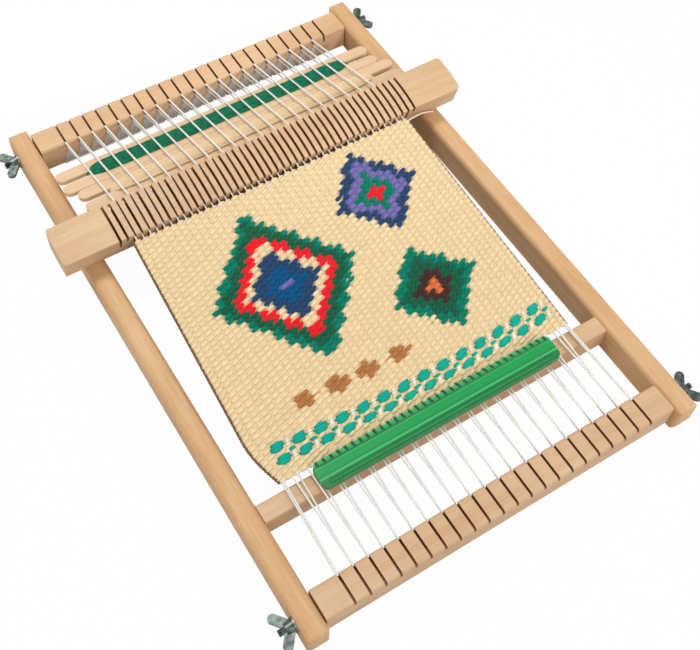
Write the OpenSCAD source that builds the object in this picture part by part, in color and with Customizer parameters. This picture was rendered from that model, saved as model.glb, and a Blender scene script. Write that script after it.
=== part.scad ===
// Tabletop frame loom with a rocking slotted shed bar, in millimetres, +Z up.
// X runs along the beams, +Y runs from the weaver's (lower) beam to the upper beam,
// and the rails stand on Z = 0.

/* [Frame] */
// clear width between the two side rails
inner_width = 248; // [200:1:400]
// thickness of a side rail across X
rail_thickness = 14; // [10:0.5:20]
// height of a side rail
rail_height = 24; // [18:1:30]
// rounding of the rail's long edges
rail_round = 3.5; // [1:0.5:5]
// how far the lower corner of a rail's end sweeps up
rail_sweep = 10.5; // [4:0.5:14]
// distance of each beam's axis from the middle of the frame
beam_reach = 190; // [150:1:280]
// how far a rail runs on past a beam's axis
rail_beyond = 16; // [15:1:30]
// height of the beams' axes
beam_axis_height = 14; // [12:0.5:16]
// width and height of the fixed stretcher
stretcher_depth = 12.5; // [8:0.5:18]
stretcher_height = 18; // [12:0.5:20]
// height of the stretcher's top face
stretcher_top = 22.5; // [18:0.5:24]
// distance from the lower beam's axis to the middle of the stretcher
stretcher_from_beam = 61.75; // [40:0.25:90]
// diameter and length of a stretcher dowel
dowel_diameter = 6; // [4:0.5:8]
dowel_length = 24; // [16:1:40]

/* [Slotted beams] */
// side of a beam's square section
beam_side = 20; // [16:0.5:24]
// rounding of a beam's long edges
beam_round = 2.5; // [0.5:0.5:4]
// gap between a beam's end and the rail
beam_end_gap = 0.8; // [0.2:0.05:1.5]
// number of saw cuts in a beam
beam_slots = 22; // [10:1:40]
// width of a saw cut
beam_kerf = 1.6; // [1.2:0.1:2.4]
// depth of a saw cut at the face towards the cloth
beam_cut_inner = 6.5; // [4:0.5:8]
// depth of a saw cut at the outer face
beam_cut_outer = 3; // [2:0.5:6]

/* [Bolts and wing nuts] */
// bolt diameter
bolt_diameter = 4; // [3:0.5:6]
// how deep a bolt sits in the beam's end
bolt_in_beam = 25; // [15:1:40]
// how far a bolt stands out past the rail
bolt_beyond_rail = 10; // [8:0.5:14]
// radial clearance of a bolt in the rail's bore
bolt_clear = 0.1; // [0.02:0.01:0.1]
// washer diameter and thickness
washer_diameter = 10; // [9:0.5:16]
washer_thickness = 1; // [0.8:0.1:1.5]
// gap between a wing nut and its washer
nut_gap = 0.3; // [0.2:0.05:0.5]
// diameter of the wing nut's hub at its foot and at its top
nut_foot_diameter = 8.6; // [8:0.2:12]
nut_top_diameter = 7; // [7:0.2:10]
// height of the hub
nut_hub_height = 4.4; // [3:0.2:8]
// height and spread of the wings, and their thickness
nut_height = 10.4; // [8:0.2:14]
nut_spread = 23; // [18:0.5:30]
wing_thickness = 2.2; // [1.5:0.1:3]
// width of a wing, seen from its flat side
wing_width = 5.8; // [4:0.2:7]

/* [Shed bar] */
// length of the bar
shed_length = 302; // [286:1:340]
// height of the bar's long top edges above its ridge
shed_edge_height = 20.7; // [16:0.1:26]
// how far the crowned top rises above those edges
shed_crown = 1.3; // [0.5:0.1:3]
// half the bar's width at the top and at the bottom
shed_half_top = 14.5; // [12:0.5:18]
shed_half_bottom = 12; // [9:0.5:16]
// slope of each of the two flats under the bar, which is also its lean at rest
shed_lean = 9.5; // [6:0.5:14]
// distance from the upper beam's axis to the ridge
shed_from_beam = 102; // [90:1:130]
// gap between the ridge and the rails
shed_gap = 0.3; // [0.2:0.05:0.5]
// rounding of the bar's ends seen from above
shed_round = 4; // [1:0.5:8]
// number of slots and their pitch, half that of the beams
shed_slots = 46; // [20:2:60]
shed_pitch = 5; // [4:0.5:8]
// width of a slot
shed_kerf = 1.8; // [1.4:0.1:2.6]
// depths of the slots whose warp rides high, at the back and at the front
high_slot_back = 2.9; // [2:0.1:5]
high_slot_front = 11.5; // [8:0.5:14]
// depths of the slots whose warp rides low, at the back and at the front
low_slot_back = 15.7; // [12:0.1:17]
low_slot_front = 5.3; // [4:0.1:8]

/* [Warp and cloth] */
// diameter of the warp yarn
warp_diameter = 1; // [0.6:0.1:1.4]
// first and last slot of the shed bar that hold warp
first_end = 3; // [3:2:11]
last_end = 44; // [22:2:46]
// gap between the warp and the floor of a slot or a piece that lies on the warp
warp_gap = 0.3; // [0.2:0.05:0.5]
// thickness of the cloth
cloth_thickness = 2; // [1.2:0.1:3]
// bare warp between the lower beam and the cloth, and between the shed bar's ridge and the cloth
bare_near = 60.6; // [20:0.1:120]
bare_far = 21; // [19:0.5:60]
// how far the cloth runs on past its outer warp ends, and how much its edges wander
cloth_beyond = 2.2; // [1:0.1:4]
cloth_wander = 0.5; // [0:0.1:3]
// how far the left edge swells out near the start of the weaving
cloth_swell = 6; // [0:0.5:8]
// how much narrower the cloth is at its near edge, and how far that edge lies to the right
cloth_draw_in = 0.994; // [0.9:0.002:1]
near_shift = -1.5; // [-5:0.1:5]

/* [Shuttles] */
// length, width and thickness of a shuttle
shuttle_length = 247; // [180:1:320]
shuttle_width = 24; // [18:0.5:32]
shuttle_thickness = 3; // [2:0.5:5]
// distance of the far shuttle from the upper beam's axis, and its shift to the right
far_from_beam = 49.4; // [44:0.2:54]
far_shift = -2; // [-20:0.5:20]
// distance of the near shuttle from the shed bar's ridge, and its shift to the right
near_from_shed = 28.6; // [28:0.2:34]
near_shuttle_shift = 4.5; // [-20:0.5:20]
// width and depth of the notch in each end
notch_width = 4; // [3:0.5:6]
notch_depth = 22; // [14:1:30]
// width of the winding and how far it stands off each face
winding_width = 13.5; // [8:0.5:20]
winding_bulge = 1.8; // [1:0.1:4]

/* [Comb] */
// width and thickness of the comb's spine
comb_width = 17; // [12:0.5:26]
comb_thickness = 6; // [4:0.5:9]
// number of teeth and their thickness
comb_teeth = 33; // [15:2:41]
tooth_thickness = 1.6; // [1:0.1:2.4]
// gap between the comb and the cloth's near edge
comb_gap = 1.1; // [0.8:0.1:10]

/* [Hidden] */

$fn = 48;
half_inner = inner_width / 2;
rail_x = half_inner + rail_thickness / 2;
rail_face = half_inner + rail_thickness;
beam_length = inner_width - 2 * beam_end_gap;
beam_top = beam_axis_height + beam_side / 2;
bolt_hole_diameter = bolt_diameter + 0.1;
rail_bore = bolt_diameter + 2 * bolt_clear;
dowel_hole = dowel_diameter + 0.04;
dowel_spread = stretcher_height / 4;
stretcher_z = stretcher_top - stretcher_height / 2;
beam_inner = beam_reach - beam_side / 2;
beam_pitch = 2 * shed_pitch;
rail_length = 2 * (beam_reach + rail_beyond);
stretcher_middle = stretcher_from_beam - beam_reach;
shed_y = beam_reach - shed_from_beam;
shed_z = rail_height + shed_gap;
crown_radius = (shed_half_top * shed_half_top + shed_crown * shed_crown) / (2 * shed_crown);
winding_half = shuttle_thickness / 2 + winding_bulge;
winding_radius = (winding_width * winding_width / 4 + winding_half * winding_half) / (2 * winding_half);

function shed_x(j) = (j - (shed_slots + 1) / 2) * shed_pitch;
function beam_x(i) = (i - (beam_slots + 1) / 2) * beam_pitch;
function near_x(j) = cloth_draw_in * shed_x(j) + near_shift;
function upper_slot(j) = floor((j - 1) / 2);
function lower_slot(j) = floor(j / 2);
function on_line(p, q, t) = p + (q - p) * t;
function lead(y, p, q) = (y - p[0]) / (q[0] - p[0]);
function in_bar(y, z) =
  [shed_y + y * cos(shed_lean) - z * sin(shed_lean), shed_z + y * sin(shed_lean) + z * cos(shed_lean)];
function line_z(y, p, q) = on_line(p, q, lead(y, p, q))[1];

// points that the warp runs through, each [y, z]
over_floor = warp_diameter / 2 + warp_gap;
high_hook = [beam_inner + 1.2, beam_top - 1];
low_hook = [beam_inner, beam_top - 5.5];
high_rest = in_bar(shed_half_top + 0.1, shed_edge_height - high_slot_back + over_floor);
low_rest = in_bar(-shed_half_top, shed_edge_height - low_slot_front + over_floor);
near_hook = [-beam_inner, beam_top];
cloth_near = near_hook[0] + bare_near;
cloth_far = shed_y - bare_far;
fell = on_line(near_hook, low_rest, lead(cloth_far, near_hook, low_rest));
cloth_tilt = atan((fell[1] - near_hook[1]) / (fell[0] - near_hook[0]));
low_tilt = atan((low_rest[1] - low_hook[1]) / (low_rest[0] - low_hook[0]));

function cloth_z(y) = line_z(y, near_hook, low_rest);

comb_pitch = cloth_draw_in * shed_pitch;
comb_length = comb_teeth * comb_pitch + 6;
comb_x = near_x((shed_slots + 1) / 2);
comb_y = cloth_near - comb_gap - comb_width / 2;

wood = [0.87, 0.71, 0.5];
steel = [0.75, 0.76, 0.78];
cotton = [0.93, 0.91, 0.85];
green_yarn = [0.05, 0.33, 0.16];
green_plastic = [0.1, 0.45, 0.15];
weave = [0.86, 0.82, 0.74];

// a rectangle with rounded corners about the origin
module round_rect(w, h, r) {
  square([w - 2 * r, h], center = true);
  square([w, h - 2 * r], center = true);
  for (x = [-1, 1])
    for (y = [-1, 1])
      translate([x * (w / 2 - r), y * (h / 2 - r)])
        circle(r = r);
}

// a length of yarn between two points, pulled straight
module strand(a, b, d = warp_diameter) {
  v = b - a;
  length = norm(v);
  translate(a)
    rotate([0, acos(v[2] / length), atan2(v[1], v[0])])
      cylinder(h = length, d = d, $fn = 16);
}

// a round bar along X about the origin
module along_x(length, d) {
  rotate([0, 90, 0])
    cylinder(h = length, d = d, center = true);
}

// a rail seen from the side: its lower corners sweep up further than its upper ones
module rail_outline() {
  half = rail_length / 2;
  translate([rail_sweep - half, 0])
    square([2 * (half - rail_sweep), rail_height]);
  translate([rail_round - half, rail_sweep])
    square([2 * (half - rail_round), rail_height - rail_sweep]);
  translate([-half, rail_sweep])
    square([2 * half, rail_height - rail_sweep - rail_round]);
  for (w = [-1, 1]) {
    translate([w * (half - rail_sweep), rail_sweep])
      circle(r = rail_sweep);
    translate([w * (half - rail_round), rail_height - rail_round])
      circle(r = rail_round);
  }
}

// one side rail with its two pivot bores, about X = 0
module rail(side) {
  color(wood)
    translate([side * rail_x, 0, 0])
      difference() {
        intersection() {
          rotate([90, 0, 90])
            linear_extrude(rail_thickness, center = true)
              rail_outline();
          translate([0, 0, rail_height / 2])
            rotate([90, 0, 0])
              linear_extrude(rail_length, center = true)
                round_rect(rail_thickness, rail_height, rail_round);
          linear_extrude(rail_height)
            round_rect(rail_thickness, rail_length, rail_round);
        }
        for (y = [-beam_reach, beam_reach])
          translate([0, y, beam_axis_height])
            along_x(rail_thickness + 2, rail_bore);
        for (z = [-dowel_spread, dowel_spread])
          translate([-side * rail_thickness / 2, stretcher_middle, stretcher_z + z])
            along_x(dowel_length, dowel_hole);
      }
}

module stretcher() {
  color(wood)
    translate([0, stretcher_middle, stretcher_z])
      difference() {
        rotate([90, 0, 90])
          linear_extrude(inner_width, center = true)
            round_rect(stretcher_depth, stretcher_height, 1.5);
        for (x = [-half_inner, half_inner])
          for (z = [-dowel_spread, dowel_spread])
            translate([x, 0, z])
              along_x(dowel_length, dowel_hole);
      }
}

module stretcher_dowels() {
  color(wood)
    for (x = [-half_inner, half_inner])
      for (z = [-dowel_spread, dowel_spread])
        translate([x, stretcher_middle, stretcher_z + z])
          along_x(dowel_length - 1, dowel_diameter);
}

// a slotted beam; toward = 1 where the cloth lies on its +Y side, -1 on its -Y side
module beam(y, toward) {
  half = beam_side / 2;
  slope = (beam_cut_inner - beam_cut_outer) / beam_side;
  color(wood)
    translate([0, y, beam_axis_height])
      difference() {
        rotate([90, 0, 90])
          linear_extrude(beam_length, center = true)
            round_rect(beam_side, beam_side, beam_round);
        for (i = [1 : beam_slots])
          translate([beam_x(i), 0, 0])
            rotate([90, 0, 90])
              linear_extrude(beam_kerf, center = true)
                polygon([
                  [toward * (half + 1), half - beam_cut_inner - slope],
                  [-toward * (half + 1), half - beam_cut_outer + slope],
                  [-toward * (half + 1), half + 1],
                  [toward * (half + 1), half + 1]
                ]);
        for (x = [-1, 1])
          translate([x * beam_length / 2, 0, 0])
            along_x(2 * bolt_in_beam + 1, bolt_hole_diameter);
      }
}

// a bolt through the rail, one end blind in the beam
module bolt(side, y) {
  inner = beam_length / 2 - bolt_in_beam;
  outer = rail_face + bolt_beyond_rail;
  color(steel)
    translate([side * (inner + outer) / 2, y, beam_axis_height])
      along_x(outer - inner, bolt_diameter);
}

module washer(side, y) {
  color(steel)
    translate([side * (rail_face + washer_thickness / 2), y, beam_axis_height])
      difference() {
        along_x(washer_thickness, washer_diameter);
        along_x(washer_thickness + 1, bolt_diameter + 0.3);
      }
}

// a wing nut, its foot towards the rail and its wings along Y
module wing_nut(side, y) {
  root = [2.4, 2.6];
  tip = [nut_spread / 2 - wing_width / 2, nut_height - wing_width / 2];
  reach = norm(tip - root);
  tilt = atan((tip[1] - root[1]) / (tip[0] - root[0]));
  color(steel)
    translate([side * (rail_face + washer_thickness + nut_gap), y, beam_axis_height])
      rotate([0, side * 90, 0])
        difference() {
          union() {
            cylinder(h = nut_hub_height, d1 = nut_foot_diameter, d2 = nut_top_diameter);
            for (w = [-1, 1])
              rotate([90, 0, 90])
                linear_extrude(wing_thickness, center = true)
                  intersection() {
                    translate([w * root[0], root[1]])
                      rotate(w > 0 ? tilt : 180 - tilt) {
                        translate([-1, -wing_width / 2])
                          square([reach + 1, wing_width]);
                        translate([reach, 0])
                          circle(d = wing_width);
                      }
                    translate([-nut_spread, 0.4])
                      square([2 * nut_spread, nut_height]);
                  }
          }
          translate([0, 0, -1])
            cylinder(h = nut_height + 2, d = bolt_diameter + 0.1);
        }
}

// section of the shed bar about its ridge, y across and z up
module shed_section() {
  low = shed_half_bottom * tan(shed_lean);
  top = shed_edge_height + shed_crown;
  intersection() {
    polygon([
      [0, 0],
      [shed_half_bottom, low],
      [shed_half_top, shed_edge_height],
      [shed_half_top, top + 1],
      [-shed_half_top, top + 1],
      [-shed_half_top, shed_edge_height],
      [-shed_half_bottom, low]
    ]);
    translate([0, top - crown_radius])
      circle(r = crown_radius, $fn = 360);
  }
}

// one slot of the shed bar: floor depth at the front and at the back
module shed_cut(front, back) {
  rise = (front - back) / (2 * shed_half_top);
  rotate([90, 0, 90])
    linear_extrude(shed_kerf, center = true)
      polygon([
        [-shed_half_top - 1, shed_edge_height - front - rise],
        [shed_half_top + 1, shed_edge_height - back + rise],
        [shed_half_top + 1, shed_edge_height + 5],
        [-shed_half_top - 1, shed_edge_height + 5]
      ]);
}

module shed_bar() {
  color(wood)
    translate([0, shed_y, shed_z])
      rotate([shed_lean, 0, 0])
        difference() {
          intersection() {
            rotate([90, 0, 90])
              linear_extrude(shed_length, center = true)
                shed_section();
            translate([0, 0, -1])
              linear_extrude(40)
                round_rect(shed_length, 2 * shed_half_top + 2, shed_round);
          }
          for (j = [1 : 2 : shed_slots])
            translate([shed_x(j), 0, 0])
              shed_cut(high_slot_front, high_slot_back);
          for (j = [2 : 2 : shed_slots])
            translate([shed_x(j), 0, 0])
              shed_cut(low_slot_front, low_slot_back);
        }
}

// a flat shuttle about its middle
module shuttle() {
  prong = (shuttle_width - notch_width) / 2;
  end = shuttle_length / 2;
  linear_extrude(shuttle_thickness, center = true)
    difference() {
      union() {
        square([shuttle_length - prong, shuttle_width], center = true);
        for (x = [-1, 1])
          for (y = [-1, 1])
            translate([x * (end - prong / 2), y * (shuttle_width - prong) / 2])
              circle(d = prong);
      }
      for (x = [-1, 1])
        translate([x * end, 0]) {
          square([2 * notch_depth - notch_width, notch_width], center = true);
          translate([-x * (notch_depth - notch_width / 2), 0])
            circle(d = notch_width);
        }
    }
}

// the yarn wound lengthwise over a shuttle, through both notches
module winding() {
  floor_x = shuttle_length / 2 - notch_depth;
  neck = notch_width / 2 - 0.3;
  difference() {
    intersection() {
      rotate([90, 0, 90])
        linear_extrude(2 * floor_x + 7, center = true)
          intersection_for(z = [-1, 1])
            translate([0, z * (winding_half - winding_radius)])
              circle(r = winding_radius, $fn = 96);
      linear_extrude(20, center = true)
        polygon([
          [-floor_x - 3.2, -neck],
          [-floor_x + 14, -winding_width / 2],
          [floor_x - 14, -winding_width / 2],
          [floor_x + 3.2, -neck],
          [floor_x + 3.2, neck],
          [floor_x - 14, winding_width / 2],
          [-floor_x + 14, winding_width / 2],
          [-floor_x - 3.2, neck]
        ]);
    }
    shuttle();
  }
}

// lays a shuttle on the lowered warp, in the open shed
module in_shed(x, y) {
  translate([x, y, line_z(y, low_hook, low_rest) + (winding_half + over_floor) / cos(low_tilt)])
    rotate([low_tilt, 0, 0])
      children();
}

module far_place() {
  in_shed(far_shift, beam_reach - far_from_beam)
    children();
}

module near_place() {
  in_shed(near_shuttle_shift, shed_y + near_from_shed)
    children();
}

// the comb's spine with two ridges, a thick guard at each end, and teeth that dip under the cloth
module comb() {
  bottom = over_floor;
  half = comb_width / 2;
  color(green_plastic)
    translate([comb_x, comb_y, cloth_z(comb_y)])
      rotate([cloth_tilt, 0, 0]) {
        translate([0, 0, bottom])
          linear_extrude(comb_thickness - 1.2)
            round_rect(comb_length, comb_width, 4);
        for (y = [-half + 2.6, half - 2.6])
          translate([0, y, bottom + comb_thickness - 1.3])
            rotate([0, 90, 0])
              cylinder(h = comb_length - 9, d = 2.6, center = true, $fn = 24);
        for (k = [0 : comb_teeth - 1])
          translate([(k - (comb_teeth - 1) / 2) * comb_pitch, 0, 0])
            rotate([90, 0, 90])
              linear_extrude(k == comb_teeth - 1 ? 3 * tooth_thickness / 2 : tooth_thickness, center = true)
                polygon([
                  [half - 6, bottom + 0.5],
                  [half - 6, -0.4],
                  [half - 1, -2],
                  [half + 12, -3.7],
                  [half + 14.5, -2.9],
                  [half + 14, -2.1],
                  [half + 0.5, -cloth_thickness / 2 - warp_gap],
                  [half + 0.5, bottom + 1.5],
                  [half - 2, bottom + 2]
                ]);
      }
}

// the woven cloth: a thin slab whose edges wander a little
module cloth() {
  length = (cloth_far - cloth_near) / cos(cloth_tilt);
  steps = 24;
  left_near = near_x(first_end) - cloth_beyond;
  left_far = shed_x(first_end) - cloth_beyond;
  right_near = near_x(last_end) + cloth_beyond;
  right_far = shed_x(last_end) + cloth_beyond;
  swell = [for (k = [0 : steps])
    cloth_swell * (k < 4 ? sin(90 * k / 4) : (steps - k) / (steps - 4))];
  left = [for (k = [0 : steps])
    [left_near + (left_far - left_near) * k / steps - swell[k] - cloth_wander * sin(k * 95),
      length * k / steps]];
  right = [for (k = [steps : -1 : 0])
    [right_near + (right_far - right_near) * k / steps + cloth_wander / 2 * sin(k * 70), length * k / steps]];
  color(weave)
    translate([0, cloth_near, cloth_z(cloth_near)])
      rotate([cloth_tilt, 0, 0])
        translate([0, 0, -cloth_thickness / 2])
          linear_extrude(cloth_thickness)
            polygon(concat(left, right));
}

module front_warp() {
  color(cotton)
    for (j = [first_end : last_end])
      strand(
        [beam_x(lower_slot(j)), near_hook[0] - 1.5, near_hook[1] - (j % 2 == 0 ? 0.7 : 2.2)],
        [near_x(j), cloth_near - warp_gap, cloth_z(cloth_near - warp_gap)]
      );
}

module raised_warp() {
  color(cotton)
    for (j = [first_end : 2 : last_end])
      strand(
        [beam_x(upper_slot(j)), high_hook[0], high_hook[1]],
        [shed_x(j), high_rest[0], high_rest[1]]
      );
}

module raised_warp_front() {
  start = on_line(fell, high_rest, lead(fell[0] + warp_gap, fell, high_rest));
  finish = on_line(fell, high_rest, lead(high_rest[0] - 0.4, fell, high_rest));
  color(cotton)
    for (j = [first_end : 2 : last_end])
      strand([shed_x(j), start[0], start[1]], [shed_x(j), finish[0], finish[1]]);
}

// the warp that rides low: straight through the shed bar's slot, then out to the beam's slot
module lowered_warp() {
  thin = warp_diameter - 0.08;
  start = on_line(fell, low_rest, lead(fell[0] + warp_gap, fell, low_rest));
  inside = on_line(low_rest, low_hook, 0.004);
  clear = on_line(low_rest, low_hook, 0.3);
  before_clear = on_line(low_rest, low_hook, 0.296);
  color(cotton)
    for (j = [first_end + 1 : 2 : last_end]) {
      strand([shed_x(j), inside[0], inside[1]], [shed_x(j), start[0], start[1]], thin);
      strand([shed_x(j), low_rest[0], low_rest[1]], [shed_x(j), clear[0], clear[1]]);
      strand(
        [shed_x(j), before_clear[0], before_clear[1]],
        [beam_x(upper_slot(j)), low_hook[0] + 0.8, low_hook[1] - 0.14],
        thin
      );
    }
}

// yarn laid round a beam: down the face towards the cloth, under it, and up the outer face if whole
module wrap(y, toward, whole) {
  half = beam_side / 2;
  near = 0.05;
  far = near + warp_diameter;
  low = beam_axis_height - half;
  bend = beam_round * 0.6;
  inner_top = beam_axis_height + half - beam_cut_inner + 0.2;
  outer_top = beam_axis_height + half - beam_cut_outer;
  inside = whole
    ? [[bend - half, low - near], [-half - near, low + bend], [-half - near, outer_top]]
    : [[6 - half, low - near]];
  outside = whole
    ? [[-half - far, outer_top], [-half - far, low + bend], [bend - half, low - far]]
    : [[6 - half, low - far]];
  path = concat(
    [[half + near, inner_top], [half + near, low + bend], [half - bend, low - near]],
    inside,
    outside,
    [[half - bend, low - far], [half + far, low + bend], [half + far, inner_top]]
  );
  rotate([90, 0, 90])
    linear_extrude(warp_diameter, center = true)
      polygon([for (p = path) [y + toward * p[0], p[1]]]);
}

// the warp wound once round the upper beam, at every slot that holds warp
module upper_wraps() {
  color(cotton)
    for (i = [1 : upper_slot(last_end)])
      translate([beam_x(i), 0, 0])
        wrap(beam_reach, -1, true);
}

// the warp ends tucked round the lower beam
module lower_wraps() {
  color(cotton)
    for (i = [1 : lower_slot(last_end)])
      translate([beam_x(i), 0, 0])
        wrap(-beam_reach, 1, false);
}

// points round a thread's section, across the direction u
function ring(p, u, r) =
  let (side = cross(u, [0, 0, 1]) / norm(cross(u, [0, 0, 1])), up = cross(side, u))
  [for (k = [0 : 7]) p + r * (cos(45 * k) * side + sin(45 * k) * up)];

// the loose end of weft at the far right corner of the cloth
module weft_tail() {
  start = [shed_x(last_end) + cloth_beyond, cloth_far - 1, cloth_z(cloth_far - 1)];
  finish = [half_inner + 8, shed_y - shed_half_top, rail_height + 1.2];
  path = [for (t = [0 : 0.125 : 1])
    on_line(start, finish, t) + sin(180 * t) * [0, 0.8, 1.5]];
  last = len(path) - 1;
  points = [for (k = [0 : last])
    let (u = path[min(k + 1, last)] - path[max(k - 1, 0)])
    each ring(path[k], u / norm(u), 0.5)];
  sides = [for (k = [0 : last - 1])
    for (s = [0 : 7])
      [8 * k + s, 8 * k + (s + 1) % 8, 8 * k + 8 + (s + 1) % 8, 8 * k + 8 + s]];
  color(cotton)
    polyhedron(
      points = points,
      faces = concat([[for (s = [7 : -1 : 0]) s]], sides, [[for (s = [0 : 7]) 8 * last + s]])
    );
}

rail(-1);  // left_rail
rail(1);  // right_rail
stretcher();
stretcher_dowels();
beam(-beam_reach, 1);  // lower_beam
beam(beam_reach, -1);  // upper_beam
bolt(-1, -beam_reach);  // lower_left_bolt
bolt(1, -beam_reach);  // lower_right_bolt
bolt(-1, beam_reach);  // upper_left_bolt
bolt(1, beam_reach);  // upper_right_bolt
washer(-1, -beam_reach);  // lower_left_washer
washer(1, -beam_reach);  // lower_right_washer
washer(-1, beam_reach);  // upper_left_washer
washer(1, beam_reach);  // upper_right_washer
wing_nut(-1, -beam_reach);  // lower_left_nut
wing_nut(1, -beam_reach);  // lower_right_nut
wing_nut(-1, beam_reach);  // upper_left_nut
wing_nut(1, beam_reach);  // upper_right_nut
shed_bar();
color(wood) far_place() shuttle();  // far_shuttle
color(wood) near_place() shuttle();  // near_shuttle
color(green_yarn) far_place() winding();  // far_yarn
color(cotton) near_place() winding();  // near_yarn
comb();
cloth();
front_warp();
raised_warp();
lowered_warp();
raised_warp_front();
upper_wraps();
lower_wraps();
weft_tail();
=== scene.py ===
# %% [markdown]
# A tabletop frame loom in beech, with a rocking slotted bar, two shuttles, a comb and a finished cloth. The
# solids come from the packed model. This lesson dresses them: wood, zinc, plastic, and above all yarn.
# Everything is in metres, with X along the beams, Y from the weaver to the far beam, and Z up.

# %% load the packed loom
import math
import bpy
import numpy as np
from mathutils import Matrix, Vector


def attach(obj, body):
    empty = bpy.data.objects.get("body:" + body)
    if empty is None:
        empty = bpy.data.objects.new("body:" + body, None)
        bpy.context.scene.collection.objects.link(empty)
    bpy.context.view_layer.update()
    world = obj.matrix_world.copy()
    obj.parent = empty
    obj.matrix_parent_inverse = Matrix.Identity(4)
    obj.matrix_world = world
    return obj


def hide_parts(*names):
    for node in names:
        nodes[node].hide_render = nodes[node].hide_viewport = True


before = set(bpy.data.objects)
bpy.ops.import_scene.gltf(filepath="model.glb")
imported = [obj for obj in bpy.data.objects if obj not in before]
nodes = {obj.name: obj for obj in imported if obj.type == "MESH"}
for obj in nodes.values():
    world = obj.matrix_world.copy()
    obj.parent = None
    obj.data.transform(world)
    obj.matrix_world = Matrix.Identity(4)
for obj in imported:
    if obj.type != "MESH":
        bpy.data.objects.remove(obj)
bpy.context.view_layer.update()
scene = bpy.context.scene
scene.view_settings.view_transform = "Standard"
MM = 0.001

# %% [markdown]
# The camera comes first, because it decides how fine each detail has to be. It looks down at the loom from
# the weaver's left. Its axes are built from where it looks and how far it leans, not from a rotation in
# degrees.

# %% camera
LENS_MM, SENSOR_MM = 54.57, 36
eye = Vector((-213.7, -336.4, 591.8)) * MM
look = Vector((0.29902, 0.43190, -0.85091)).normalized()
up = Vector((0.43749, 0.73043, 0.52448))
right = look.cross(up).normalized()
up = right.cross(look)
camera_data = bpy.data.cameras.new("weaver_view")
camera_data.lens = LENS_MM
camera_data.sensor_width = SENSOR_MM
camera_data.sensor_fit = "HORIZONTAL"
camera_data.clip_start = 0.01
camera = bpy.data.objects.new("weaver_view", camera_data)
scene.collection.objects.link(camera)
axes = Matrix((right, up, -look)).transposed().to_4x4()
camera.matrix_world = Matrix.Translation(eye) @ axes
scene.camera = camera
print("camera at", [round(v, 3) for v in eye])

# %% [markdown]
# Blender draws materials and growing shapes alike as trees of nodes. They could be wired up by hand in the
# editor. In a script a tree is easier to read when it is written as sums, so `Tree` is a small pencil for
# that: it adds a node, sets its values and joins its sockets.

# %% a pencil for node trees
class Tree:
    def __init__(self, tree):
        self.tree = tree

    def add(self, kind, values=None, **settings):
        node = self.tree.nodes.new(kind)
        for name, value in settings.items():
            setattr(node, name, value)
        for name, value in (values or {}).items():
            self.put(node.inputs[name], value)
        return node

    def put(self, socket, value):
        """join a socket to another one, or give it a plain value"""
        if isinstance(value, bpy.types.NodeSocket):
            self.tree.links.new(value, socket)
        else:
            socket.default_value = value

    def math(self, kind, a, b=0.0, c=0.0):
        return self.add("ShaderNodeMath", {0: a, 1: b, 2: c}, operation=kind).outputs[0]

    def times(self, first, *others):
        for other in others:
            first = self.math("MULTIPLY", first, other)
        return first

    def vary(self, value, low, spread):
        """low, and up to spread more as the value grows from 0 to 1"""
        return self.math("MULTIPLY_ADD", value, spread, low)

    def span(self, value, low, high, out_low=0.0, out_high=1.0):
        """one range of a value laid over another"""
        return self.add("ShaderNodeMapRange", {"Value": value, "From Min": low, "From Max": high,
                        "To Min": out_low, "To Max": out_high}).outputs[0]

    def axes(self, vector):
        return self.add("ShaderNodeSeparateXYZ", {0: vector}).outputs


print("a pencil with", len([name for name in vars(Tree) if not name.startswith("_")]), "strokes")

# %% [markdown]
# Finishes need a few strokes more: soft noise, a colour mix, a bump. Every finish reads the place on the
# object in metres, so its grain has a real size. An image wrapped round the piece would stretch and could
# show seams.

# %% a pencil for finishes
class Finish(Tree):
    def place(self):
        return self.add("ShaderNodeTexCoord").outputs["Object"]

    def noise(self, place, size, detail=2.0, rough=0.5):
        return self.add("ShaderNodeTexNoise", {"Vector": place, "Scale": 1.0 / size, "Detail": detail,
                        "Roughness": rough}).outputs["Fac"]

    def read(self, name, output="Fac"):
        """a value that the mesh carries"""
        return self.add("ShaderNodeAttribute", attribute_name=name).outputs[output]

    def mix(self, share, a, b, kind="MIX"):
        node = self.add("ShaderNodeMix", {0: share, 6: a, 7: b}, data_type="RGBA", blend_type=kind,
                        clamp_factor=True)
        return node.outputs[2]

    def tinted(self, tone, red, green, blue):
        """a tone dimmed by a share for each of its three lights"""
        tint = self.add("ShaderNodeCombineColor", {0: red, 1: green, 2: blue}).outputs[0]
        return self.mix(1.0, tone, tint, "MULTIPLY")

    def bump(self, height, distance, strength):
        node = self.add("ShaderNodeBump", {"Height": height, "Distance": distance, "Strength": strength})
        return node.outputs[0]


def new_finish(name, values):
    """a material, the pencil for its tree, and its shader with some plain values"""
    material = bpy.data.materials.new(name)
    material.use_nodes = True
    shader = material.node_tree.nodes["Principled BSDF"]
    for label, value in values.items():
        shader.inputs[label].default_value = value
    return material, Finish(material.node_tree), shader


print("finishes add", len([name for name in vars(Finish) if not name.startswith("_")]), "strokes")

# %% [markdown]
# The loom lies on a white table. A plain white plane would turn grey in its own light, so the camera sees
# it glow, with only a trace of the loom's shadow, while to all other light it is a dull white surface.

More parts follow.
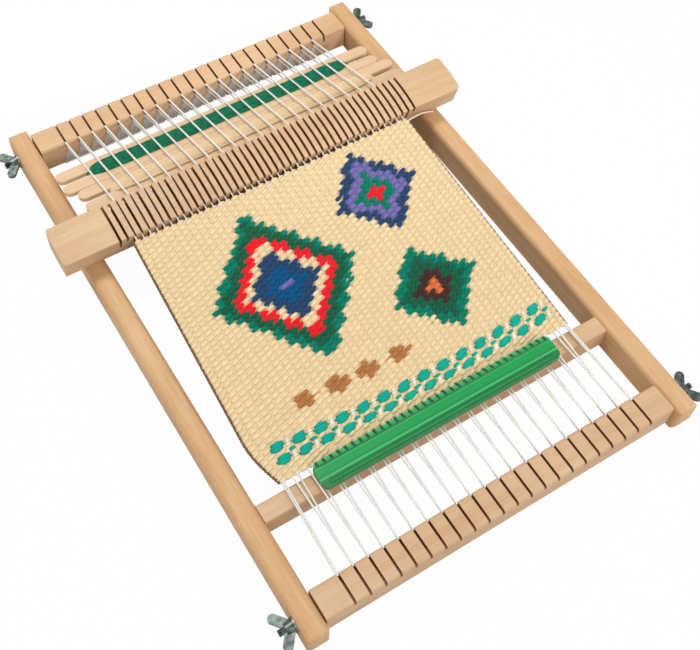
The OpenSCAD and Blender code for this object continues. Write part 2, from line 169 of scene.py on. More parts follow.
# %% the white table
TABLE_WIDE, TABLE_DROP = 8, 0.0006
GLOW_SHARE = 0.97
bpy.ops.mesh.primitive_plane_add(size=TABLE_WIDE, location=(0, 0, -TABLE_DROP))
table = bpy.context.object
table.name = "table"
white, tree, shader = new_finish("white_table", {"Base Color": (0.8, 0.8, 0.8, 1.0), "Roughness": 0.9,
                                                 "Specular IOR Level": 0.1})
glow = tree.add("ShaderNodeEmission", {"Color": (1.0, 1.0, 1.0, 1.0), "Strength": 1.0})
ray = tree.add("ShaderNodeLightPath").outputs
seen = tree.times(ray["Is Camera Ray"], GLOW_SHARE)
both = tree.add("ShaderNodeMixShader", {0: seen, 1: shader.outputs[0], 2: glow.outputs[0]})
tree.put(white.node_tree.nodes["Material Output"].inputs[0], both.outputs[0])
table.data.materials.append(white)
print("a table", TABLE_WIDE, "m wide")

# %% [markdown]
# A big soft sky does most of the work, so shadows stay faint. One broad lamp beyond the far left corner
# gives the wood its shape, a second fills the faces turned to the weaver, and a small soft spot reaches the
# far half.

# %% sky and lamps
SKY_STRENGTH = 0.54
scene.world = bpy.data.worlds.new("soft_sky")
scene.world.use_nodes = True
sky = Tree(scene.world.node_tree)
background = scene.world.node_tree.nodes["Background"].inputs
ray = sky.add("ShaderNodeLightPath").outputs
plain = sky.math("MAXIMUM", ray["Is Camera Ray"], ray["Is Transmission Ray"])
sky.put(background["Strength"], sky.span(plain, 0.0, 1.0, SKY_STRENGTH, 1.0))
sky.put(background["Color"], (1.0, 1.0, 1.0, 1.0))


def lamp(name, kind, place, target, power):
    """a lamp of one kind, turned from its place towards a target"""
    light = bpy.data.lights.new(name, kind)
    light.energy = power
    hung = bpy.data.objects.new(name, light)
    scene.collection.objects.link(hung)
    hung.location = place
    hung.rotation_euler = (Vector(target) - Vector(place)).to_track_quat("-Z", "Y").to_euler()
    return light


for name, place, power, wide in (("window", (-0.4, 1.5, 3.4), 61, 1.2), ("fill", (0.2, -2.3, 1.9), 18, 1.4)):
    broad = lamp(name, "AREA", place, (0, 0, 0), power)
    broad.shape = "DISK"
    broad.size = wide
spot = lamp("far_half", "SPOT", (0.7, -1.5, 0.92), (0.03, 0.18, 0.01), 52)
spot.spot_size = math.radians(10.5)
spot.spot_blend = 0.6
spot.shadow_soft_size = 0.15

# %% [markdown]
# The loom repeats two spacings. The beams have a slot every 10 mm and the shed bar one every 5 mm, and two
# warp ends share each beam slot. The same few sums place every thread, so they are written once, in
# millimetres.

# %% the loom's spacings
BEAM_PITCH, BEAM_MIDDLE = 10, 11.5
BAR_PITCH, BAR_MIDDLE = 5, 23.5
ALL_ENDS = range(3, 45)
RAISED, LOWERED = ALL_ENDS[::2], ALL_ENDS[1::2]
NEAR_EDGE, FELL = -119.4, 67.0
DRAWN_IN, DRIFT = 0.994, 1.5


def shed_x(j):
    """where warp end j lies in the shed bar"""
    return (j - BAR_MIDDLE) * BAR_PITCH


def near_x(j):
    """where it leaves the cloth's near edge, drawn in a little"""
    return DRAWN_IN * shed_x(j) - DRIFT


def upper_slot(j):
    return (j - 1) // 2


def lower_slot(j):
    return j // 2


def beam_x(i):
    return (i - BEAM_MIDDLE) * BEAM_PITCH


print(len(ALL_ENDS), "warp ends,", len(RAISED), "raised and", len(LOWERED), "lowered")

# %% [markdown]
# From the lower beam the warp climbs evenly to the shed bar. The cloth lies along the same slope, so one
# sum gives the height of both. Straight stretches get a point every few millimetres, because the yarn's
# twist needs points to turn on.

# %% the slope of the warp
BEAM_TOP, BEAM_EDGE, SLOPE = 24, -180, 0.0553117
POINT_GAP = 4.0


def warp_z(y):
    return BEAM_TOP + SLOPE * (y - BEAM_EDGE)


def between(a, b, t):
    return a + (b - a) * t


def straight(a, b):
    """points along a straight stretch"""
    a, b = np.array(a, float), np.array(b, float)
    count = max(2, int(np.linalg.norm(b - a) / POINT_GAP) + 1)
    return [between(a, b, t) for t in np.linspace(0, 1, count)]


print("the warp climbs", round(warp_z(FELL) - warp_z(NEAR_EDGE), 1), "mm along the cloth")

# %% [markdown]
# Yarn and stitches are made by Geometry Nodes: a bare mesh of points goes in, and a full shape comes out.
# The result is kept as a plain mesh, so that nothing has to be worked out again later.

# %% grow a shape from a bare mesh
def new_group(name, inputs):
    """a node group that takes geometry and some values and gives geometry"""
    group = bpy.data.node_groups.new(name, "GeometryNodeTree")
    ids = {}
    group.interface.new_socket(name="Geometry", in_out="INPUT", socket_type="NodeSocketGeometry")
    for label, kind in inputs:
        made = group.interface.new_socket(name=label, in_out="INPUT", socket_type=kind)
        ids[label] = made.identifier
    group.interface.new_socket(name="Geometry", in_out="OUTPUT", socket_type="NodeSocketGeometry")
    tree = Tree(group)
    return group, ids, tree, tree.add("NodeGroupInput").outputs


def grow(name, mesh, group, ids, values):
    """run a node group on a mesh and keep the plain result"""
    seed_object = bpy.data.objects.new(name + "_start", mesh)
    scene.collection.objects.link(seed_object)
    modifier = seed_object.modifiers.new("grow", "NODES")
    modifier.node_group = group
    for label, value in values.items():
        modifier[ids[label]] = value
    seed_object.update_tag()
    graph = bpy.context.evaluated_depsgraph_get()
    made = bpy.data.meshes.new_from_object(seed_object.evaluated_get(graph), depsgraph=graph)
    bpy.data.objects.remove(seed_object)
    bpy.data.meshes.remove(mesh)
    made.name = name
    piece = bpy.data.objects.new(name, made)
    scene.collection.objects.link(piece)
    return piece


print("a mesh can grow through a node group")

# %% [markdown]
# A grown shape has to tell its finish things that only its making knows, such as where the groove of the
# yarn is. So it carries them as named values. The last nodes of every group are the same, so they are
# written once too.

# %% named values and the way out
def store(tree, geometry, name, value, data_type="FLOAT", domain="POINT"):
    """let the geometry carry a named value, for its finish to read"""
    node = tree.add("GeometryNodeStoreNamedAttribute", {"Geometry": geometry, "Name": name, "Value": value},
                    data_type=data_type, domain=domain)
    return node.outputs[0]


def carried(tree, name, data_type="FLOAT"):
    """a named value that the geometry carries"""
    return tree.add("GeometryNodeInputNamedAttribute", {"Name": name}, data_type=data_type).outputs[0]


def let_out(tree, geometry, finish):
    """smooth the shape, give it its finish, and let it out of the group"""
    smooth = tree.add("GeometryNodeSetShadeSmooth", {"Geometry": geometry, "Shade Smooth": True})
    clad = tree.add("GeometryNodeSetMaterial", {"Geometry": smooth.outputs[0], "Material": finish})
    tree.add("NodeGroupOutput", {"Geometry": clad.outputs[0]})


print("geometry can carry values of its own")

# %% [markdown]
# Yarn is two plies twisted round each other. It could be two tubes wound as springs, but one is enough: a
# small ring, pinched where the plies meet, is swept along the line. First the line gets its points and its
# twist.

# %% the twist of a yarn
yarn_group, yarn_ids, tree, given = new_group("plied_yarn", [
    ("Width", "NodeSocketFloat"), ("Turn", "NodeSocketFloat"), ("Step", "NodeSocketFloat"),
    ("Seed", "NodeSocketInt"), ("Yarn", "NodeSocketMaterial")])
line = tree.add("GeometryNodeMeshToCurve", {"Mesh": given["Geometry"]})
line = tree.add("GeometryNodeResampleCurve", {"Curve": line.outputs[0], "Length": given["Step"]},
                mode="LENGTH")
line = tree.add("GeometryNodeSetCurveNormal", {"Curve": line.outputs[0]}, mode="MINIMUM_TWIST")
which = tree.add("GeometryNodeInputIndex").outputs[0]
luck = tree.add("FunctionNodeRandomValue", {"ID": which, "Seed": given["Seed"]}, data_type="FLOAT")
marked = store(tree, line.outputs[0], "strand", luck.outputs[1], domain="CURVE")
length = tree.add("GeometryNodeSplineParameter").outputs["Length"]
marked = store(tree, marked, "along", length)
turns = tree.math("ADD", tree.math("DIVIDE", length, given["Turn"]), carried(tree, "strand"))
line = tree.add("GeometryNodeSetCurveTilt", {"Curve": marked, "Tilt": tree.times(turns, 2 * math.pi)})
print("each strand starts its twist at a place of its own")

# %% [markdown]
# The ring's radius is a little smaller between the plies than across them. `lobe` remembers that share,
# from 0 in the groove to 1 on a ply, so the finish can paint shade into the groove.

# %% the ring that is swept along it
YARN_SIDES, GROOVE = 10, 0.87
ring = tree.add("GeometryNodeCurvePrimitiveCircle", {"Resolution": YARN_SIDES, "Radius": 1.0}, mode="RADIUS")
place = tree.add("GeometryNodeInputPosition").outputs[0]
lobe = tree.math("ABSOLUTE", tree.axes(place)[0])
marked = store(tree, ring.outputs[0], "lobe", lobe)
reach = tree.times(tree.span(lobe, 0.0, 1.0, GROOVE, 1.0), tree.times(given["Width"], 0.5))
shaped = tree.add("ShaderNodeVectorMath", {0: place, "Scale": reach}, operation="SCALE")
ring = tree.add("GeometryNodeSetPosition", {"Geometry": marked, "Position": shaped.outputs[0]})
tube = tree.add("GeometryNodeCurveToMesh", {"Curve": line.outputs[0], "Profile Curve": ring.outputs[0],
                "Fill Caps": True})
let_out(tree, tube.outputs[0], given["Yarn"])
print("yarn tree with", len(yarn_group.nodes), "nodes")

# %% [markdown]
# Every yarn on the loom is laid by the same call: the runs of points it follows, its width, and the body it
# moves with. It stands for the plain solid that the model keeps for weight.

# %% lay yarn along runs of points
def plied(name, runs, width, yarn, body, replaced, turn=2.6, step=0.5, seed=1):
    """lengths of plied yarn, all in millimetres; turn is the length of one twist"""
    mesh = bpy.data.meshes.new(name + "_lines")
    points = [Vector(p) * MM for run in runs for p in run]
    edges, first = [], 0
    for run in runs:
        edges += [(first + n, first + n + 1) for n in range(len(run) - 1)]
        first += len(run)
    mesh.from_pydata(points, edges, [])
    piece = grow(name, mesh, yarn_group, yarn_ids, {"Width": width * MM, "Turn": turn * MM,
                 "Step": step * MM, "Seed": seed, "Yarn": yarn})
    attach(piece, body)
    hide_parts(replaced)
    return piece


print("a yarn takes", ", ".join(yarn_ids))

# %% [markdown]
# Cotton is matt and nearly white, and wool is fuzzier. The colour changes a little from strand to strand
# and along each one, shade is painted darker into the groove between the plies, and a fine wave in the bump
# hints at the fibres. Colours are written as on a paint card, from 0 to 255, and `linear` turns them into
# the light values that Blender reckons with.

# %% the finish of a yarn
def linear(r, g, b):
    def one(v):
        v = v / 255
        return v / 12.92 if v <= 0.04045 else ((v + 0.055) / 1.055) ** 2.4
    return (one(r), one(g), one(b), 1.0)


FIBRE_WAVE = 9000


def yarn_finish(name, colour, groove_shade, fuzz=0.25):
    """the second colour is painted shade, shown in the groove between the plies"""
    material, tree, shader = new_finish(name, {"Roughness": 0.85, "Specular IOR Level": 0.25,
                                               "Sheen Weight": fuzz})
    place = tree.place()
    mottle = tree.noise(place, 0.006, 3)
    fibre = tree.noise(place, 0.0004, 2)
    # painted shade: the colour darkens from the ply towards the groove between the plies
    tone = tree.mix(tree.span(tree.read("lobe"), 0.15, 0.8), groove_shade, colour)
    shade = tree.times(tree.vary(mottle, 0.9, 0.16), tree.vary(tree.read("strand"), 0.95, 0.1),
                       tree.vary(fibre, 0.92, 0.16))
    tree.put(shader.inputs["Base Color"], tree.tinted(tone, shade, shade, shade))
    wave = tree.math("SINE", tree.times(tree.read("along"), FIBRE_WAVE))
    tree.put(shader.inputs["Normal"], tree.bump(tree.vary(wave, fibre, 0.15), 0.00002, 0.25))
    return material


cotton = yarn_finish("warp_cotton", linear(248, 246, 240), linear(226, 222, 212))
green_wool = yarn_finish("green_wool", linear(8, 120, 84), linear(4, 88, 62), 0.1)
cream_wool = yarn_finish("cream_wool", linear(236, 208, 166), linear(230, 202, 160))
print("three yarns, the first of them", cotton.name)

# %% [markdown]
# The loose end of the weft leaves the far right corner of the cloth and lies under the end of the shed bar.
# It is a free cord, so it is laid along the points it follows.

# %% weft tail
TAIL_START, TAIL_FINISH = np.array([104.7, 66, 37.607]), np.array([132, 73.5, 25.2])
TAIL_BOW, TAIL_POINTS = np.array([0, 0.8, 1.5]), 17
tail = [between(TAIL_START, TAIL_FINISH, t) + math.sin(math.pi * t) * TAIL_BOW
        for t in np.linspace(0, 1, TAIL_POINTS)]
weft_end = plied("weft_end", [tail], 1.0, cotton, "cloth", "weft_tail", step=0.4)

# %% [markdown]
# In front of the cloth the warp ends come together in pairs, two to a slot of the lower beam. The first and
# the last end are doubled, as weavers do to make a firm edge. All of them are one piece, which moves with
# the cloth.

# %% front warp
BUNCHING, DOUBLED, TUCKED_IN = 0.25, 0.7, 2.4
IN_SLOT_Y, EVEN_Z, ODD_Z = -181.5, 23.3, 21.8
under_edge = NEAR_EDGE + TUCKED_IN
front = []
for j in ALL_ENDS:
    slot = lower_slot(j)
    bunched = near_x(between(j, 2 * slot + 0.5, BUNCHING))
    for shift in (-DOUBLED, DOUBLED) if j in (ALL_ENDS[0], ALL_ENDS[-1]) else (0,):
        front.append(straight((beam_x(slot) + shift / 2, IN_SLOT_Y, ODD_Z if j % 2 else EVEN_Z),
                              (bunched + shift, under_edge, warp_z(under_edge))))
plied("front_warp_yarn", front, 1.2, cotton, "cloth", "front_warp", turn=5.0, seed=2)
print(len(front), "lengths of front warp")

# %% [markdown]
# Behind the cloth the warp opens into the shed: every other end is lifted by the shallow slots of the bar,
# and the rest lie low in the deep ones. Each half is one piece, so it can move with its own body, and the
# short lengths inside the bar's slots are a third.

# %% the open shed
HIGH_REST, LOW_REST, FELL_Z = (99.33, 45.06), (71.025, 37.885), 37.662
FAR_HIGH, FAR_LOW = (181.2, 23), (180.8, 18.36)
CLEAR = (between(LOW_REST[0], 180, 0.3), between(LOW_REST[1], 18.5, 0.3))
raised = [straight((beam_x(upper_slot(j)), *FAR_HIGH), (shed_x(j), *HIGH_REST)) for j in RAISED]
raised_front = [straight((shed_x(j), *HIGH_REST), (shed_x(j), FELL, FELL_Z)) for j in RAISED]
lowered = [straight((shed_x(j), FELL, FELL_Z), (shed_x(j), *LOW_REST))
           + straight((shed_x(j), *LOW_REST), (shed_x(j), *CLEAR))[1:]
           + straight((shed_x(j), *CLEAR), (beam_x(upper_slot(j)), *FAR_LOW))[1:] for j in LOWERED]
for part, runs, width, seed in (("raised_warp", raised, 1.45, 3), ("raised_warp_front", raised_front, 1.1, 4),
                                ("lowered_warp", lowered, 1.05, 5)):
    plied(part + "_yarn", runs, width, cotton, part, part, seed=seed)
print(len(raised) + len(raised_front) + len(lowered), "lengths in the shed")

# %% [markdown]
# Round the upper beam the warp turns once from every slot. Its thin strands spread like a fan on the beam's
# faces, and light shines through them a little, so their cotton gets some subsurface light. Their cotton is
# also a whiter copy of the warp's, with a paler groove, painted lighter because the beam's face lies in
# shade.
# A flat painted fan would do from far off, but six real strands also look right from behind. At the lower
# beam the ends are tucked under.

# %% wraps round the beams
FACE, UNDER, ROUNDING = 10.4, 3.6, 0.6
SLOT_Z, SPREAD_Z, CORNER_Z, TOP_Z = 18.6, 17.4, 6.2, 20.8
FANS, TUCKS = (-3.7, -2.2, -0.75, 0.75, 2.2, 3.7), (-0.6, 0.6)
UPPER_Y, LOWER_Y = 190, -190
THIN = {"Subsurface Weight": 0.7, "Subsurface Radius": (1.0, 1.0, 0.95), "Subsurface Scale": 0.0015}
# painted light: a whiter copy of the cotton, with a paler groove, for strands in the beam's shade
lit_cotton = yarn_finish("wrap_cotton", linear(254, 253, 250), linear(246, 243, 236))
for label, value in THIN.items():
    lit_cotton.node_tree.nodes["Principled BSDF"].inputs[label].default_value = value


def wrap_round(x, y, toward, lean, whole):
    """one strand down the beam's inner face, under it, and up the outer face if whole"""
    run = [(x, y + toward * 9.6, SLOT_Z), (x + 0.12 * lean, y + toward * FACE, SPREAD_Z),
           (x + lean, y + toward * FACE, CORNER_Z),
           (x + lean, y + toward * (FACE - ROUNDING), UNDER + ROUNDING),
           (x + lean, y + toward * 7.5, UNDER), (x + lean, y - toward * (7.5 if whole else 4.0), UNDER)]
    if whole:
        run += [(x + lean, y - toward * (FACE - ROUNDING), UNDER + ROUNDING),
                (x + 0.8 * lean, y - toward * FACE, CORNER_Z), (x, y - toward * FACE, TOP_Z)]
    return run


upper = [wrap_round(beam_x(i), UPPER_Y, -1, lean, True) for i in range(1, 22) for lean in FANS]
plied("upper_wraps_yarn", upper, 0.85, lit_cotton, "upper_beam", "upper_wraps", seed=6)
lower = [wrap_round(beam_x(i), LOWER_Y, 1, lean, False) for i in range(1, 23) for lean in TUCKS]
plied("lower_wraps_yarn", lower, 1.0, cotton, "lower_beam", "lower_wraps", seed=7)
print(len(upper), "strands round the upper beam and", len(lower), "at the lower")

# %% [markdown]
# A stick shuttle is filled lengthwise: the yarn runs over the face, through the notch, and back underneath.
# The turns lie side by side in the middle and crowd together where they enter the notches. Each turn is a
# yarn of its own that wanders a little, because a striped block would look moulded.

# %% yarn on the shuttles
SHUTTLE_LEAN, HALF_THICK = math.radians(-10.087), 1.5
TURNING_X, TAPER = 101.5 + 1.6, 11
NARROW, WIDE, CROWN = 0.9, 6.1, 0.75
TURN_POINTS, WANDER_LONG = 46, 17
chance = np.random.default_rng(11)


def winding(name, place, yarn, body, replaced, width, count):
    """turns of yarn on both faces of a shuttle that lies tilted in the shed"""
    runs = []
    for face in (1, -1):
        for n in range(count):
            share = (n + 0.5) / count * 2 - 1
            phase, wander = chance.uniform(0, 6.28), chance.uniform(0.1, 0.45)
            run = []
            for x in np.linspace(-TURNING_X, TURNING_X, TURN_POINTS):
                inward = min(1.0, max(0.0, (TURNING_X - abs(x)) / TAPER))
                y = share * (NARROW + (WIDE - NARROW) * inward ** 0.6)
                y += wander * inward * math.sin(x / WANDER_LONG + phase)
                z = face * (HALF_THICK + 0.36 * width + CROWN * (1 - share * share) * inward) if inward else 0
                run.append((x + place[0], y * math.cos(SHUTTLE_LEAN) - z * math.sin(SHUTTLE_LEAN) + place[1],
                            y * math.sin(SHUTTLE_LEAN) + z * math.cos(SHUTTLE_LEAN) + place[2]))
            runs.append(run)
    return plied(name, runs, width, yarn, body, replaced, turn=width * 7, step=1.0)


winding("green_winding", (-2, 140.6, 29.67), green_wool, "far_shuttle", "far_yarn", 1.9, 8)
winding("cream_winding", (4.5, 116.6, 33.94), cream_wool, "near_shuttle", "near_yarn", 2.0, 8)
print("two shuttles wound")

# %% [markdown]
# The cloth is weft-faced tapestry: only the weft shows. Every stitch is one weft thread bulging over one
# warp end, and the columns of stitches follow the warp. It's drawn in a little at the near edge, and its
# left edge bulges, as hand weaving does.

# %% columns of the cloth
COLUMNS = len(ALL_ENDS)
CLOTH_LONG = FELL - NEAR_EDGE
BULGE, BULGED_COLUMNS = 6, 16


def swell(y):
    """how far the left edge bulges: quickly up to a sixth of the cloth's length, then slowly back"""
    share = (y - NEAR_EDGE) / CLOTH_LONG
    if share < 1 / 6:
        return BULGE * math.sin(math.pi / 2 * max(0.0, share) * 6)
    return BULGE * (1 - share) * 6 / 5


def column_x(c, y):
    j = ALL_ENDS[0] + c
    x = between(near_x(j), shed_x(j), (y - NEAR_EDGE) / CLOTH_LONG)
    return x - swell(y) * max(0.0, 1 - c / BULGED_COLUMNS) ** 2


print(COLUMNS, "columns,", round(column_x(COLUMNS - 1, 0) - column_x(0, 0)), "mm across the middle")

# %% [markdown]
# The passes of weft bow a little towards the weaver, as they do in real tapestry, and the comb's teeth
# press the first ones back. The bow is one sum of the place on the flat chart, so stitches and sheet bend
# alike.

# %% rows of the cloth
PASS, FIRST_PASS, PAST_FELL = 1.92, 1.0, 0.9
COMB_MIDDLE, COMB_HALF = -1.5, 86.0
DENT, DENT_REACH = 1.8, 9
SAG, SAG_HALF = 5.4, 104
FIRM_NEAR, FIRM_FAR = 16, 30
LOOSER_FROM, LOOSER_BY = -5, 0.2


def comb_dent(x):
    """1 at the comb's middle, 0 at its ends and beyond"""
    return max(0.0, 1 - ((x - COMB_MIDDLE) / COMB_HALF) ** 2)


def bow(x, y):
    """how far a row lies from its straight line: back at the comb, towards the weaver in the middle"""
    firm = min(1.0, max(0.0, (y - NEAR_EDGE) / FIRM_NEAR)) * min(1.0, max(0.0, (FELL - y) / FIRM_FAR))
    dent = DENT * comb_dent(x) * max(0.0, 1 - (y - NEAR_EDGE) / DENT_REACH)
    return dent - SAG * firm * max(0.0, 1 - (x / SAG_HALF) ** 2)


def on_cloth(x, y, lift=0.0):
    """a point of the cloth in metres, from its place on the flat chart in millimetres"""
    bowed = y + bow(x, y)
    return Vector((x, bowed, warp_z(bowed) + lift)) * MM


def row_places():
    """where each pass of weft lies: closely beaten near the start, looser at the fell"""
    rows, y = [], NEAR_EDGE + FIRST_PASS
    while y < FELL + PAST_FELL:
        rows.append(y)
        y += PASS + LOOSER_BY * max(0.0, (y - LOOSER_FROM) / (FELL - LOOSER_FROM))
    return rows


ROWS = row_places()
print(len(ROWS), "passes of weft over", COLUMNS, "warp ends")

# %% [markdown]
# A weaver works from a chart. This one is made of sums: stepped lozenges, one inside the other, and four
# small brown ones in a row. `ink` names the colour of any place on the cloth. A painted image would blur at
# the stitches, while here each stitch has one clean colour.

# %% the weaver's chart
INK = {"cream": linear(239, 216, 175), "white": linear(246, 240, 228), "teal": linear(20, 170, 150),
       "emerald": linear(3, 128, 106), "pine": linear(27, 98, 72), "red": linear(238, 34, 48),
       "navy": linear(42, 72, 112), "blue": linear(6, 86, 138), "violet": linear(120, 112, 178),
       "brown": linear(184, 124, 72), "maroon": linear(74, 46, 46), "orange": linear(222, 118, 66),
       "umber": linear(128, 98, 74)}
LOZENGES = [(-36, -2, 0.86, ((5, "violet"), (14, "blue"), (24, "navy"), (30, "cream"), (37, "red"),
                             (45, "pine"), (51, "emerald"))),
            (45, -50, 0.95, ((6, "orange"), (14, "maroon"), (24, "pine"), (32, "emerald"))),
            (52, 30, 0.95, ((7, "red"), (15, "emerald"), (24, "violet"), (32, "navy")))]
SMALL_LEFT, SMALL_RIGHT, SMALL_Y, SMALL_PITCH, SMALL_REACH = -78, 10, -78, 22, 8.5


def lozenge(x, y, middle_x, middle_y, steep):
    """how far out a place lies, in millimetres, in steps two passes high"""
    climb = round(abs(y - middle_y) / (2 * PASS)) * (2 * PASS)
    return abs(x - middle_x) + climb * steep


def ink(x, y):
    for middle_x, middle_y, steep, rings in LOZENGES:
        reach = lozenge(x, y, middle_x, middle_y, steep)
        for outer, name in rings:
            if reach < outer:
                return name
    off = abs((x - SMALL_LEFT) % SMALL_PITCH - SMALL_PITCH / 2)
    if SMALL_LEFT < x < SMALL_RIGHT and off + 1.1 * abs(y - SMALL_Y) < SMALL_REACH:
        return "brown"
    return "cream"


print(len(INK), "colours of yarn and", len(LOZENGES), "lozenges")

# %% [markdown]
# A stitch looks like a grain of rice. Thousands of them would be slow to model one by one, so a small ball
# is set on every point of a bare mesh, turned and stretched by values that the point carries.

# %% grains on points
GRAIN_SEGMENTS, GRAIN_RINGS = 12, 6
stitch_group, stitch_ids, tree, given = new_group("stitches", [("Yarn", "NodeSocketMaterial")])
ball = tree.add("GeometryNodeMeshUVSphere", {"Segments": GRAIN_SEGMENTS, "Rings": GRAIN_RINGS, "Radius": 1.0})
place = tree.add("GeometryNodeInputPosition").outputs[0]
marked = store(tree, ball.outputs[0], "grain", place, "FLOAT_VECTOR")
turned = tree.add("FunctionNodeEulerToRotation", {0: carried(tree, "lean", "FLOAT_VECTOR")})
laid = tree.add("GeometryNodeInstanceOnPoints", {"Points": given["Geometry"], "Instance": marked,
                "Rotation": turned.outputs[0], "Scale": carried(tree, "size", "FLOAT_VECTOR")})
laid = tree.add("GeometryNodeRealizeInstances", {0: laid.outputs[0]})
let_out(tree, laid.outputs[0], given["Yarn"])
print("stitch tree with", len(stitch_group.nodes), "nodes")

# %% [markdown]
# Tapestry wool is dull, and its fibres twist over each stitch. `grain` tells the finish where it is on the
# stitch: shade is painted on the sides, darker and warmer than the top, because less light reaches between
# two stitches.

# %% the finish of the stitches
TWIST_ALONG, TWIST_ACROSS = 9.0, -5.0
wool, tree, shader = new_finish("tapestry_wool", {"Roughness": 0.9, "Specular IOR Level": 0.15})
place = tree.place()
fibre = tree.noise(place, 0.0005, 2)
mottle = tree.noise(place, 0.011, 3)
lengthwise, crosswise, upwards = tree.axes(tree.read("grain", "Vector"))
twist = tree.math("SINE", tree.math("ADD", tree.times(lengthwise, TWIST_ALONG),
                                    tree.times(crosswise, TWIST_ACROSS)))
shade = tree.times(tree.vary(mottle, 0.94, 0.1), tree.vary(tree.read("luck"), 0.96, 0.08),
                   tree.vary(fibre, 0.9, 0.2), tree.vary(twist, 0.985, 0.035))
# painted shade: the low sides of each stitch darker and warmer than its top
side_shade = tree.mix(tree.span(upwards, 0.1, 0.95), (0.86, 0.82, 0.72, 1.0), (1.03, 1.03, 1.03, 1.0))
tone = tree.tinted(tree.read("ink", "Color"), shade, shade, shade)
tree.put(shader.inputs["Base Color"], tree.mix(1.0, tone, side_shade, "MULTIPLY"))
tree.put(shader.inputs["Normal"], tree.bump(tree.vary(fibre, twist, 0.8), 0.00006, 0.6))
print("wool with", len(wool.node_tree.nodes), "nodes")

# %% [markdown]
# The stitches are gathered in a list before they are grown. Each one has its place, its turn, its half
# sizes, its colour and a little luck, and leans a bit to one side, as plied wool does when it is beaten
# down.

# %% a list of stitches
STITCH_LEAN, LEAN_JITTER = 0.36, 0.05


def carry(mesh, label, kind, field, values):
    """let every point of a mesh carry a named value"""
    layer = mesh.attributes.new(label, kind, "POINT")
    layer.data.foreach_set(field, np.array(values, "f").ravel())


class Stitches:
    def __init__(self, seed):
        self.chance = np.random.default_rng(seed)
        self.points, self.leans, self.sizes, self.inks, self.lucks = [], [], [], [], []

    def put(self, x, y, half_long, half_wide, name, lift, lean=STITCH_LEAN, high=1.0):
        slope = (bow(x + 1, y) - bow(x - 1, y)) / 2
        self.points.append(on_cloth(x, y, lift))
        turn = math.atan(slope) + lean + self.chance.normal(0, LEAN_JITTER)
        self.leans.append((math.atan(SLOPE), 0, turn))
        self.sizes.append((half_long * MM, half_wide * MM, high * MM))
        self.inks.append(INK[name])
        self.lucks.append(self.chance.random())

    def knit(self, name):
        mesh = bpy.data.meshes.new(name + "_points")
        mesh.from_pydata(self.points, [], [])
        carry(mesh, "lean", "FLOAT_VECTOR", "vector", self.leans)
        carry(mesh, "size", "FLOAT_VECTOR", "vector", self.sizes)
        carry(mesh, "ink", "FLOAT_COLOR", "color", self.inks)
        carry(mesh, "luck", "FLOAT", "value", self.lucks)
        piece = grow(name, mesh, stitch_group, stitch_ids, {"Yarn": wool})
        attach(piece, "cloth")
        return piece


face_work, back_work = Stitches(5), Stitches(6)
print("two empty lists, for the face and the back")

# %% [markdown]
# Plain weave, or tabby, covers the cloth: in each pass the weft shows over every other warp end, and the
# next pass fills the gaps. It stops where the border's ovals lie, and where the comb's teeth hide the first
# passes.

# %% tabby on the face
BORDER = [-107.5, -98.7]
OVAL_PITCH, OVALS, FIRST_OVAL = 14.3, 14, -96.5
OVAL_SPAN = (FIRST_OVAL - 5.5, FIRST_OVAL + (OVALS - 1) * OVAL_PITCH + 7)
STITCH_HALF, STITCH_WIDE, EDGE_SHORT = (0.6, 0.66), 0.74, 0.85
JITTER_X, JITTER_Y = 0.15, 0.1


def tabby(work, odd, high, lift, ovals):
    """plain weave that starts on an odd or an even warp end, with or without room for the ovals"""
    for k, y in enumerate(ROWS):
        beside_ovals = ovals and any(abs(y - middle) < 3.0 for middle in BORDER)
        pitch = ROWS[min(k + 1, len(ROWS) - 1)] - ROWS[min(k, len(ROWS) - 2)]
        for c in range(COLUMNS):
            x = column_x(c, y)
            crowded = k in (1, 2) and comb_dent(x) > 0.3
            covered = beside_ovals and OVAL_SPAN[0] < x < OVAL_SPAN[1]
            if crowded or covered or (c + k) % 2 != odd:
                continue
            half = (column_x(c + 1, y) - x) * work.chance.uniform(*STITCH_HALF)
            x += work.chance.normal(0, JITTER_X)
            if c in (0, COLUMNS - 1):
                half *= EDGE_SHORT
            y_here = y + work.chance.normal(0, JITTER_Y)
            work.put(x, y_here, half, pitch * STITCH_WIDE, ink(x, y), lift=lift, high=high)


tabby(face_work, odd=1, high=1.0, lift=0.05, ovals=True)
print(len(face_work.points), "plain stitches on the face")

# %% [markdown]
# The border is two rows of teal ovals. Each is three long floats, the middle one longest, with short pale
# stitches between it and the next, and a small teal one where four ovals meet.

# %% the border of ovals
OVAL_FLOATS = [(-1.8, 4.3), (0, 5.5), (1.8, 4.3)]
GAP_FLOATS = [(-2.6, 2.6, 1.1, "cream", 0.0), (2.6, 2.6, 1.1, "cream", 0.0),
              (-0.9, 2.0, 0.9, "white", 0.3), (0.9, 2.0, 0.9, "white", 0.3)]
OVAL_SLANT, GAP_SLANT = 0.35, 0.3
for n in range(OVALS):
    x = FIRST_OVAL + n * OVAL_PITCH
    gap = x + OVAL_PITCH / 2
    for middle in BORDER:
        for step, half in OVAL_FLOATS:
            face_work.put(x + OVAL_SLANT * step, middle + step, half, 1.35, "teal", lean=0.08, lift=0.5)
        for step, half, wide, name, lift in GAP_FLOATS:
            face_work.put(gap + GAP_SLANT * step, middle + step, half, wide, name, lean=0.2, lift=lift)
    face_work.put(gap, sum(BORDER) / 2, 2.7, 1.2, "teal", lean=0.1, lift=0.4)
print(OVALS, "pairs of ovals")

# %% [markdown]
# At both edges the weft turns back round the last warp end, and a column of dark umber stitches there is
# painted shade on the cloth's edge. The back of the cloth is flatter tabby that starts on the other warp end,
# so it fills what the face leaves open.

